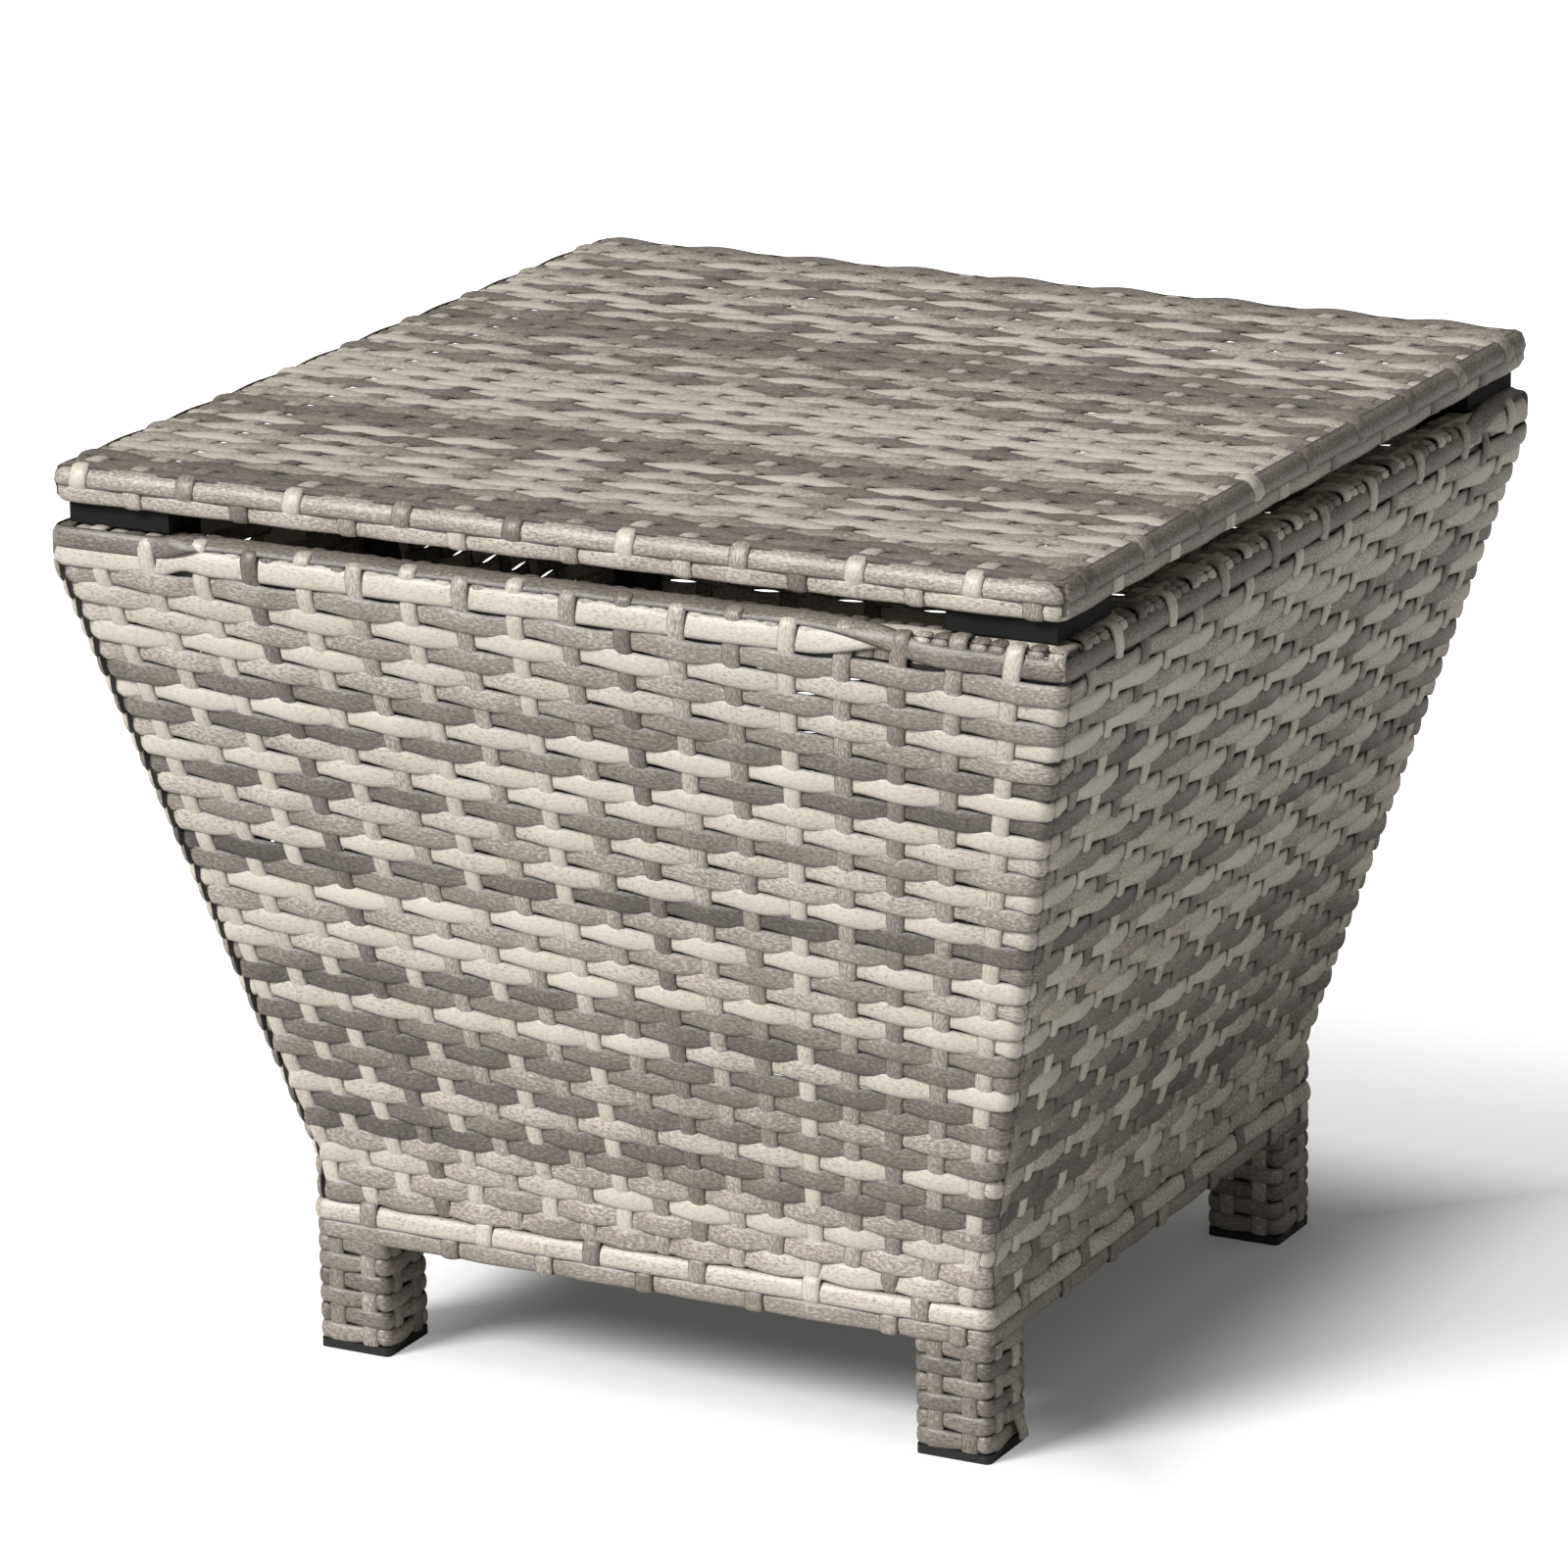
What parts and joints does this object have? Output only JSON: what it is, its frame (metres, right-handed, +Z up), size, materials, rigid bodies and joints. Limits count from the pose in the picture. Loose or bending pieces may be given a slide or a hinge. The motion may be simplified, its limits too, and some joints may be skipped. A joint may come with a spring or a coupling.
{
  "type": "propane tank cover table",
  "caption": "Square wicker-wrapped side table that hides an upright gas tank: flared woven body on a tube frame with short legs and a lift-off woven lid.",
  "frame": {"origin": "on the ground under the middle of the table", "axes": "+Z up, +X right along the front face, +Y to the back"},
  "size_m": [0.604, 0.604, 0.517],
  "materials": {
    "wicker_strand": "mottled grey-beige flat resin strand, plain weave, soft sheen",
    "frame_coat": "taupe powder-coated square tube",
    "foot_plastic": "black moulded plastic",
    "locator_rubber": "black moulded rubber",
    "screw_steel": "plain zinc-plated"
  },
  "bodies": {
    "body": {"base_rail_back": "frame_coat", "base_rail_front": "frame_coat", "base_rail_left": "frame_coat", "base_rail_right": "frame_coat", "base_wrap_back": "wicker_strand", "base_wrap_front": "wicker_strand", "base_wrap_left": "wicker_strand", "base_wrap_right": "wicker_strand", "corner_post_back_left": "frame_coat", "corner_post_back_right": "frame_coat", "corner_post_front_left": "frame_coat", "corner_post_front_right": "frame_coat", "foot_cap_back_left": "foot_plastic", "foot_cap_back_right": "foot_plastic", "foot_cap_front_left": "foot_plastic", "foot_cap_front_right": "foot_plastic", "leg_back_left": "frame_coat", "leg_back_right": "frame_coat", "leg_front_left": "frame_coat", "leg_front_right": "frame_coat", "leg_weave_back_left": "wicker_strand", "leg_weave_back_right": "wicker_strand", "leg_weave_front_left": "wicker_strand", "leg_weave_front_right": "wicker_strand", "post_seat_back_left": "frame_coat", "post_seat_back_right": "frame_coat", "post_seat_front_left": "frame_coat", "post_seat_front_right": "frame_coat", "rim_wrap_back": "wicker_strand", "rim_wrap_front": "wicker_strand", "rim_wrap_left": "wicker_strand", "rim_wrap_right": "wicker_strand", "side_stay_back": "frame_coat", "side_stay_front": "frame_coat", "side_stay_left": "frame_coat", "side_stay_right": "frame_coat", "top_rail_back": "frame_coat", "top_rail_front": "frame_coat", "top_rail_left": "frame_coat", "top_rail_right": "frame_coat", "woven_panel_back": "wicker_strand", "woven_panel_front": "wicker_strand", "woven_panel_left": "wicker_strand", "woven_panel_right": "wicker_strand"},
    "lid": {"lid_cross_bar_left": "frame_coat", "lid_cross_bar_right": "frame_coat", "lid_edge_wrap_back": "wicker_strand", "lid_edge_wrap_front": "wicker_strand", "lid_edge_wrap_left": "wicker_strand", "lid_edge_wrap_right": "wicker_strand", "lid_locator_back_left": "locator_rubber", "lid_locator_back_right": "locator_rubber", "lid_locator_front_left": "locator_rubber", "lid_locator_front_right": "locator_rubber", "lid_rail_back": "frame_coat", "lid_rail_front": "frame_coat", "lid_rail_left": "frame_coat", "lid_rail_right": "frame_coat", "lid_woven_field": "wicker_strand", "locator_screws": "screw_steel"}
  },
  "joints": [
    {"name": "lid_lift", "type": "slide", "parent": "body", "child": "lid", "axis": [0, 0, 1], "range_m": [0, 0.15]}
  ]
}
